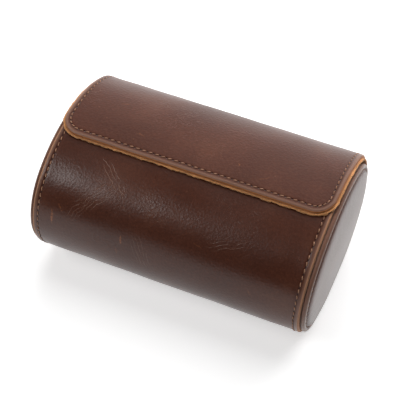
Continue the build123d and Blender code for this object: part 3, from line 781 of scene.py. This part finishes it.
def fibre_material(name, colour, scale=1400.0, depth=0.0002, contrast=0.5, uv=None):
    """Suede, raw leather, board or foam: a fibrous surface of one tone, paler and darker by its nap."""
    material, tree, shader = new_material(name)
    if not tree:
        return material
    if uv:
        vector = add(tree, "ShaderNodeUVMap", uv_map=uv).outputs[0]
    else:
        vector = add(tree, "ShaderNodeTexCoord").outputs["Object"]
    fibre = place_group(tree, fibre_group(), {"Vector": vector, "Scale": scale})
    pale = [min(1.0, c * (1 + contrast)) for c in colour]
    deep = [c * (1 - contrast) for c in colour]
    tree.links.new(mix(tree, fibre.outputs["Tone"], rgba(deep), rgba(pale)), shader.inputs["Base Color"])
    rough = ramp(tree, fibre.outputs["Height"], 0.3, 0.7, 0.82, 0.96)
    tree.links.new(rough, shader.inputs["Roughness"])
    bump = add(tree, "ShaderNodeBump", {"Height": fibre.outputs["Height"], "Distance": depth, "Strength": 0.9})
    tree.links.new(bump.outputs[0], shader.inputs["Normal"])
    shader.inputs["Sheen Weight"].default_value = 0.25
    return material


def thread_material(colours):
    """Twisted waxed thread: slanted strands along each stitch."""
    material, tree, shader = new_material("waxed_thread")
    if not tree:
        return material
    flat = add(tree, "ShaderNodeUVMap", uv_map="hide").outputs[0]
    strand = add(tree, "ShaderNodeTexWave", {"Vector": flat, "Scale": 420.0, "Distortion": 0.6, "Detail": 1.0},
                 bands_direction="DIAGONAL").outputs["Fac"]
    worn = noise(tree, add(tree, "ShaderNodeTexCoord").outputs["Object"], 180.0, 2.0)
    shade = mix(tree, strand, rgba([c * 0.55 for c in colours.thread]), rgba(colours.thread))
    shade = mix(tree, ramp(tree, worn, 0.45, 0.7, 0.0, 0.5), shade, rgba([c * 0.5 for c in colours.thread]))
    tree.links.new(shade, shader.inputs["Base Color"])
    tree.links.new(ramp(tree, worn, 0.3, 0.7, 0.5, 0.7), shader.inputs["Roughness"])
    bump = add(tree, "ShaderNodeBump", {"Height": strand, "Distance": 0.00008, "Strength": 0.6})
    tree.links.new(bump.outputs[0], shader.inputs["Normal"])
    return material


def steel_material():
    """Nickel-plated magnet, faintly brushed."""
    material, tree, shader = new_material("magnet_plating")
    if not tree:
        return material
    vector = add(tree, "ShaderNodeTexCoord").outputs["Object"]
    haze = noise(tree, vector, 500.0, 3.0)
    tree.links.new(mix(tree, haze, (0.5, 0.5, 0.5, 1.0), (0.66, 0.66, 0.65, 1.0)), shader.inputs["Base Color"])
    tree.links.new(ramp(tree, haze, 0.3, 0.7, 0.25, 0.45), shader.inputs["Roughness"])
    shader.inputs["Metallic"].default_value = 1.0
    return material


def floor_material(colours):
    """Pale floor that still takes the shadow: a plain diffuse surface with some white of its own for the rays that show
    it.
    For camera rays that white falls towards the case, which paints shade round it."""
    material, tree, shader = new_material("pale_floor")
    if not tree:
        return material
    tree.nodes.remove(shader)
    path = add(tree, "ShaderNodeLightPath")
    away = add(tree, "ShaderNodeVectorMath", {0: add(tree, "ShaderNodeTexCoord").outputs["Object"]}, operation="LENGTH")
    # Painted shade: camera rays see less of the floor's own white near the case.
    white = ramp(tree, away.outputs["Value"], 0.08, 0.60, 0.53, 1.0)
    seen = math_node(tree, "MAXIMUM", path.outputs["Is Glossy Ray"], path.outputs["Is Transmission Ray"])
    seen = math_node(tree, "MULTIPLY", seen, 0.62)
    seen = math_node(tree, "MAXIMUM", math_node(tree, "MULTIPLY", path.outputs["Is Camera Ray"], white), seen)
    matte = add(tree, "ShaderNodeBsdfDiffuse", {"Color": rgba(colours.floor)})
    glow = add(tree, "ShaderNodeEmission", {"Color": (1, 1, 1, 1), "Strength": seen})
    both = add(tree, "ShaderNodeAddShader", {0: matte.outputs[0], 1: glow.outputs[0]})
    tree.links.new(both.outputs[0], tree.nodes["Material Output"].inputs["Surface"])
    return material


def room_world():
    """A white room that is dim in front of the case: its own rays show the white, reflections lose it
    towards the front, and it lights the case only a little."""
    world = bpy.data.worlds.new("room")
    world.use_nodes = True
    tree = world.node_tree
    path = add(tree, "ShaderNodeLightPath")
    way = add(tree, "ShaderNodeSeparateXYZ", {0: add(tree, "ShaderNodeTexCoord").outputs["Generated"]})
    behind = ramp(tree, way.outputs[1], -0.05, 0.65, 0.04, 1.0)
    mirrored = math_node(tree, "MAXIMUM", path.outputs["Is Glossy Ray"], path.outputs["Is Transmission Ray"])
    level = math_node(tree, "MAXIMUM", path.outputs["Is Camera Ray"], math_node(tree, "MULTIPLY", mirrored, behind))
    level = math_node(tree, "MAXIMUM", level, math_node(tree, "MULTIPLY", behind, 0.10))
    tree.links.new(level, tree.nodes["Background"].inputs["Strength"])
    tree.nodes["Background"].inputs["Color"].default_value = (1.0, 1.0, 1.0, 1.0)
    return world


# Places that several pieces share ---------------------------------------------------------------------

PANEL_RISE = {-1: 0.72, 1: 1.0}
FLAP_FRONT, LIP, HINGE = 77.2, 100.0, 168.0


def case_measures(scene):
    """The sizes, the section and the runs of the flap's front, the lips and the hinge."""
    sizes = scene.travel_case_sizes
    table = section_table(sizes)
    runs = {"front": run_at(table, FLAP_FRONT), "lip": run_at(table, LIP), "hinge": run_at(table, HINGE),
            "back": run_at(table, HINGE) + 1.25, "wrap_start": run_at(table, HINGE - 360) + 1.25}
    runs["facing_end"] = runs["lip"] + sizes.facing_side
    runs["board_end"] = runs["hinge"] - 2 * sizes.flap_thickness
    runs["tail"] = runs["hinge"] + sizes.tail_length
    return sizes, table, runs


class CasePiece:
    """What the operators share."""

    bl_options = {"REGISTER", "UNDO"}


class TRAVELCASE_OT_wrap(CasePiece, bpy.types.Operator):
    """Build the wrap's hide and the turned lips of the opening"""

    bl_idname = "travel_case.wrap"
    bl_label = "Wrap"

    def execute(self, context):
        sizes, table, runs = case_measures(context.scene)
        colours = context.scene.travel_case_colours
        def at(x, angle):
            """A place on the hide: along the tube in mm, and the direction of the section's normal."""
            return x * MM, run_at(table, angle) * MM, 0.0

        scuffs = [
            (at(-58.5, 21), 1.50, 0.0048, 0.0008, 0.8),
            (at(-54.5, 32), 0.9, 0.0030, 0.0005, 0.4),
            (at(-22.3, 21), 1.45, 0.0030, 0.0007, 0.7),
            (at(-24.0, 8), 1.2, 0.0022, 0.0005, 0.35),
            (at(15.0, 40), 0.3, 0.0030, 0.0004, 0.25),
            (at(44.0, 12), 1.0, 0.0026, 0.0005, 0.3),
        ]
        fans = [
            (at(-34.0, 65.5), 0.72, 0.0125, 0.0030, 0.0019, 1.0),
            (at(-27.0, 58.5), 0.98, 0.0075, 0.0022, 0.0018, 0.9),
            (at(-38.0, 52.0), -0.86, 0.0110, 0.0050, 0.0017, 0.75),
            (at(-46.0, 36.0), -1.05, 0.0090, 0.0040, 0.0016, 0.5),
            (at(-10.0, 55.0), 0.5, 0.0100, 0.0040, 0.0017, 0.4),
            (at(28.0, 48.0), -0.4, 0.0110, 0.0035, 0.0018, 0.35),
            (at(-12.0, 15.0), 1.2, 0.0100, 0.0050, 0.0016, 0.4),
        ]
        # The 0.4 share darkens the wrap's hide as painted shade, standing for the shade on the front of the tube.
        finish = hide_material("wrap_hide", colours, sizes.stitch_pitch, sizes.wrap_seam, 0.25, scuffs, fans, 0.00009,
                               0.4, 0.27, colours.rim, 0.08, 0.33)
        shape = wrap_shape(table, sizes, runs["wrap_start"], runs["lip"])
        finish_piece(put_mesh("wrap_hide", *shape), finish, "case_body", ["body_wrap"])
        lip_half = sizes.tube_length / 2 - 5.2
        for name, edge, inward in (("front_lip", runs["lip"], -1), ("back_lip", runs["wrap_start"], 1)):
            points, quads, maps = lip_shape(table, lip_half, edge, inward, 1.3, 4.8)
            trim = put_mesh(name, points, quads, {**maps, "rim": np.full((len(points), 2), 0.05)})
            finish_piece(trim, finish, "case_body", ())
        return {"FINISHED"}


class TRAVELCASE_OT_flap(CasePiece, bpy.types.Operator):
    """Build the flap's hide, which bends over the hinge and is sewn down behind it"""

    bl_idname = "travel_case.flap"
    bl_label = "Flap"

    def execute(self, context):
        sizes, table, runs = case_measures(context.scene)
        colours = context.scene.travel_case_colours
        floor = sizes.facing_gap + sizes.facing_thickness
        profile = edge_profile(sizes.flap_thickness, 1.25, sizes.corner_radius, sizes.flap_seam, 0.16)
        nicks = [
            ((0.020, run_at(table, 89) * MM, 0.0), 0.4, 0.0010, 0.0005, 0.6),
            ((0.034, run_at(table, 86) * MM, 0.0), -0.5, 0.0045, 0.0003, 0.3),
            ((-0.030, run_at(table, 88) * MM, 0.0), 0.2, 0.0030, 0.0004, 0.3),
            ((-0.046, run_at(table, 103) * MM, 0.0), -0.4, 0.0030, 0.0004, 0.3),
        ]
        finish = hide_material("flap_hide", colours, sizes.stitch_pitch, sizes.flap_seam, 0.3, nicks)
        shape = flap_shape(table, sizes.flap_half_length, sizes.corner_radius, runs["front"] + sizes.facing_margin,
                           runs["tail"], floor, profile, 1.1, skive=5.0, uneven=0.10, seed=11)
        hide = put_mesh("flap_hide", *shape)
        finish_piece(hide, finish, None, ["flap_leather", "hinge_tail"])
        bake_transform(hide)
        return {"FINISHED"}


class TRAVELCASE_OT_facing(CasePiece, bpy.types.Operator):
    """Build the undyed second layer under the flap's front"""

    bl_idname = "travel_case.facing"
    bl_label = "Facing"

    def execute(self, context):
        sizes, table, runs = case_measures(context.scene)
        colours = context.scene.travel_case_colours
        radius = sizes.corner_radius + sizes.facing_margin
        profile = edge_profile(sizes.facing_thickness, 0.3, radius, 4.4, 0.0)
        finish = fibre_material("raw_facing", colours.facing, 1300.0, 0.0004, 0.42)
        shape = flap_shape(table, sizes.flap_half_length + 1.3 * sizes.facing_margin, radius, runs["front"],
                           runs["board_end"], sizes.facing_gap, profile, 0.55, hollow=runs["facing_end"],
                           strip=sizes.facing_side, rough=0.15, seed=5)
        finish_piece(put_mesh("flap_second_layer", *shape), finish, "flap", ["flap_facing"])
        return {"FINISHED"}


class TRAVELCASE_OT_end_panels(CasePiece, bpy.types.Operator):
    """Build both padded end panels"""

    bl_idname = "travel_case.end_panels"
    bl_label = "End panels"

    def execute(self, context):
        sizes, table, runs = case_measures(context.scene)
        colours = context.scene.travel_case_colours
        finish = hide_material("panel_hide", colours, sizes.stitch_pitch, sizes.crease_inset, 0.15, sheen=0.6)
        for side, name in ((-1, "left"), (1, "right")):
            points, quads, maps, marks = panel_shape(table, sizes, side)
            panel = put_mesh("padded_panel_" + name, points, quads, maps, marks)
            finish_piece(panel, finish, "case_body", ["end_panel_" + name])
        return {"FINISHED"}


class TRAVELCASE_OT_seams(CasePiece, bpy.types.Operator):
    """Sew every seam with single stitches"""

    bl_idname = "travel_case.seams"
    bl_label = "Seams"

    def execute(self, context):
        sizes, table, runs = case_measures(context.scene)
        finish = thread_material(context.scene.travel_case_colours)
        pitch = sizes.stitch_pitch
        top = sizes.facing_gap + sizes.facing_thickness + sizes.flap_thickness

        def sew(name, x, run, depth, heading, body, nodes, **kinds):
            """Stitches at these places, each pointing along x turned by its heading."""
            normal, tangent = direction(table, run)
            ahead = np.cos(heading)[:, None] * np.array([1.0, 0, 0]) + np.sin(heading)[:, None] * tangent
            places = on_section(table, x, run, depth)
            points, quads, maps = stitch_shape(places, ahead, normal, sizes, **kinds)
            finish_piece(put_mesh(name, points, quads, maps), finish, body, nodes)

        start = math.ceil(runs["wrap_start"] / pitch + 0.3)
        stop = math.floor(runs["lip"] / pitch - 0.3)
        run = np.arange(start, stop) * pitch
        for side, name in ((-1, "left"), (1, "right")):
            x = np.full(len(run), side * (sizes.tube_length / 2 - sizes.wrap_seam))
            sew("wrap_stitches_" + name, x, run, np.full(len(run), -0.06), np.full(len(run), side * 1.5708),
                "case_body", ["wrap_thread_" + name])
        place, inward, length, _, _ = u_outline(
            sizes.flap_half_length, sizes.corner_radius, runs["front"] + sizes.facing_margin, runs["tail"], 1.1)
        beat = np.arange(1, math.floor(length[-1] / pitch)) * pitch
        x, s = (np.interp(beat, length, place[:, k] + sizes.flap_seam * inward[:, k]) for k in (0, 1))
        heading = np.arctan2(np.interp(beat, length, -inward[:, 0]), np.interp(beat, length, inward[:, 1]))
        on_flap = s < runs["hinge"] - 4.5
        on_tail = (s > runs["hinge"] + 4.5) & (s < runs["tail"] - 4.0)
        sew("flap_stitches", x[on_flap], s[on_flap], np.full(on_flap.sum(), top - 0.07), heading[on_flap], "flap", ["flap_thread"])
        tail_run = runs["tail"] - 3.4
        tail_x = np.arange(-round((sizes.flap_half_length - 4.5) / pitch), round((sizes.flap_half_length - 4.5) / pitch) + 1) * pitch
        x = np.concatenate([x[on_tail], tail_x])
        s = np.concatenate([s[on_tail], np.full(len(tail_x), tail_run)])
        heading = np.concatenate([heading[on_tail], np.zeros(len(tail_x))])
        sunk = np.where(s > runs["tail"] - 3.6, top - 0.55, top - 0.07)
        sew("tail_stitches", x, s, sunk, heading, "case_body", ["hinge_thread"])
        first, last = run_at(table, -89.999), run_at(table, 270)
        count = int(round((last - first) / pitch))
        run = first + (np.arange(count) + 0.5) * (last - first) / count
        normal, tangent = direction(table, run)
        for side, name in ((-1, "left"), (1, "right")):
            places = on_section(table, 0.0, run, -sizes.crease_inset)
            places[:, 0] = side * (sizes.tube_length / 2 + 2.02 * PANEL_RISE[side]) * MM
            out = np.tile([float(side), 0.0, 0.0], (count, 1))
            points, quads, maps = stitch_shape(places, tangent, out, sizes, rise=0.25)
            finish_piece(put_mesh("panel_stitches_" + name, points, quads, maps), finish, "case_body",
                         ["panel_thread_" + name])
        return {"FINISHED"}


class TRAVELCASE_OT_pillows(CasePiece, bpy.types.Operator):
    """Build both stuffed watch pillows with piped end seams"""

    bl_idname = "travel_case.pillows"
    bl_label = "Watch pillows"

    def execute(self, context):
        colours = context.scene.travel_case_colours
        suede = fibre_material("pillow_suede", colours.suede, 1500.0, 0.00025, 0.3)
        for side, name in ((-1, "left"), (1, "right")):
            low, high = (np.array(corner) * 1000 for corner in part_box("pillow_cover_" + name))
            middle, size = (low + high) / 2, high - low
            points, quads = pillow_shape(middle, size[0] - 2.4, size[1], size[2], 20 + side)
            pillow = put_mesh("watch_pillow_" + name, points, quads)
            finish_piece(pillow, suede, "pillow_" + name, ["pillow_cover_" + name, "pillow_core_" + name])
            grid = points.reshape(-1, 120, 3)
            for end, row in (("outer", 6 if side < 0 else -7), ("inner", -7 if side < 0 else 6)):
                points2, quads2 = cord_ring(grid[row], 0.9)
                piping = put_mesh("pillow_piping_%s_%s" % (name, end), points2, quads2)
                finish_piece(piping, suede, "pillow_" + name, ())
        return {"FINISHED"}


class TRAVELCASE_OT_inner_pieces(CasePiece, bpy.types.Operator):
    """Finish the boards, linings, foam and magnets that keep their CAD shape"""

    bl_idname = "travel_case.inner_pieces"
    bl_label = "Boards, linings and magnets"

    def execute(self, context):
        colours = context.scene.travel_case_colours
        suede = fibre_material("lining_suede", colours.suede, 1500.0, 0.00025, 0.3)
        board = fibre_material("raw_board", colours.board, 900.0, 0.0002, 0.25)
        foam = fibre_material("open_foam", colours.foam, 1800.0, 0.0004, 0.2)
        facing = fibre_material("raw_facing", colours.facing, 1300.0, 0.0004, 0.42)
        finishes = {
            "suede_lining": suede, "board": board, "foam": foam, "facing_leather": facing,
            "magnet": steel_material(), "pillow_suede": suede,
        }
        for entry in frame["record"]["subparts"]:
            finish = finishes.get(entry["material_slot"])
            node = frame["nodes"][entry["node"]]
            if finish:
                node.data.materials.clear()
                node.data.materials.append(finish)
        return {"FINISHED"}


class TRAVELCASE_OT_stage(CasePiece, bpy.types.Operator):
    """Set the floor, the lamps and the camera"""

    bl_idname = "travel_case.stage"
    bl_label = "Stage"

    def execute(self, context):
        colours = context.scene.travel_case_colours
        mesh = bpy.data.meshes.new("floor")
        mesh.from_pydata([(-4, -4, -0.0002), (4, -4, -0.0002), (4, 4, -0.0002), (-4, 4, -0.0002)], [], [(0, 1, 2, 3)])
        floor = bpy.data.objects.new("floor", mesh)
        context.collection.objects.link(floor)
        mesh.materials.append(floor_material(colours))
        for name, place, size, power in (
            ("top_box", (0.05, 0.50, 1.25), (1.6, 1.1), 11.5),
            ("back_box", (0.10, 1.08, 0.74), (1.2, 0.6), 8.5),
            ("left_box", (-0.75, -0.60, 1.05), (0.5, 0.5), 6.0),
        ):
            lamp = bpy.data.lights.new(name, "AREA")
            lamp.shape = "RECTANGLE"
            lamp.size, lamp.size_y = size
            lamp.energy = power
            item = bpy.data.objects.new(name, lamp)
            item.location = place
            item.visible_glossy = name == "left_box"
            item.rotation_euler = (Vector((0, 0, 0.04)) - Vector(place)).to_track_quat("-Z", "Y").to_euler()
            context.collection.objects.link(item)
        context.scene.world = room_world()
        azimuth, elevation, distance = math.radians(23.13), math.radians(51.41), 0.598
        target = Vector((-0.00042, 0.0, 0.0355))
        toward = Vector((math.sin(azimuth) * math.cos(elevation), -math.cos(azimuth) * math.cos(elevation), math.sin(elevation)))
        camera = bpy.data.cameras.new("camera")
        camera.lens = 108.8
        camera.clip_start = 0.02
        item = bpy.data.objects.new("camera", camera)
        item.location = target + toward * distance
        item.rotation_euler = toward.to_track_quat("Z", "Y").to_euler()
        context.collection.objects.link(item)
        context.scene.camera = item
        context.scene.view_settings.view_transform = "Standard"
        return {"FINISHED"}


class TRAVELCASE_PT_panel(bpy.types.Panel):
    """Buttons that build the case"""

    bl_idname = "TRAVELCASE_PT_panel"
    bl_label = "Travel case"
    bl_space_type = "VIEW_3D"
    bl_region_type = "UI"
    bl_category = "Travel case"

    def draw(self, context):
        for operator in BUILD_ORDER:
            self.layout.operator(operator.bl_idname)
        for group in (context.scene.travel_case_sizes, context.scene.travel_case_colours):
            box = self.layout.box()
            for key in group.__annotations__:
                box.prop(group, key)


BUILD_ORDER = (
    TRAVELCASE_OT_wrap, TRAVELCASE_OT_flap, TRAVELCASE_OT_facing, TRAVELCASE_OT_end_panels,
    TRAVELCASE_OT_seams, TRAVELCASE_OT_pillows, TRAVELCASE_OT_inner_pieces, TRAVELCASE_OT_stage,
)
CLASSES = (TravelCaseSizes, TravelCaseColours, *BUILD_ORDER, TRAVELCASE_PT_panel)


def register():
    """Registers the classes and hangs the sizes and colours on the scene."""
    for item in CLASSES:
        bpy.utils.register_class(item)
    bpy.types.Scene.travel_case_sizes = bpy.props.PointerProperty(type=TravelCaseSizes)
    bpy.types.Scene.travel_case_colours = bpy.props.PointerProperty(type=TravelCaseColours)


def unregister():
    """Takes them off again."""
    del bpy.types.Scene.travel_case_colours
    del bpy.types.Scene.travel_case_sizes
    for item in reversed(CLASSES):
        bpy.utils.unregister_class(item)


def main():
    """Builds every piece in order."""
    register()
    for operator in BUILD_ORDER:
        group, name = operator.bl_idname.split(".")
        getattr(getattr(bpy.ops, group), name)()


if __name__ == "__main__":
    main()
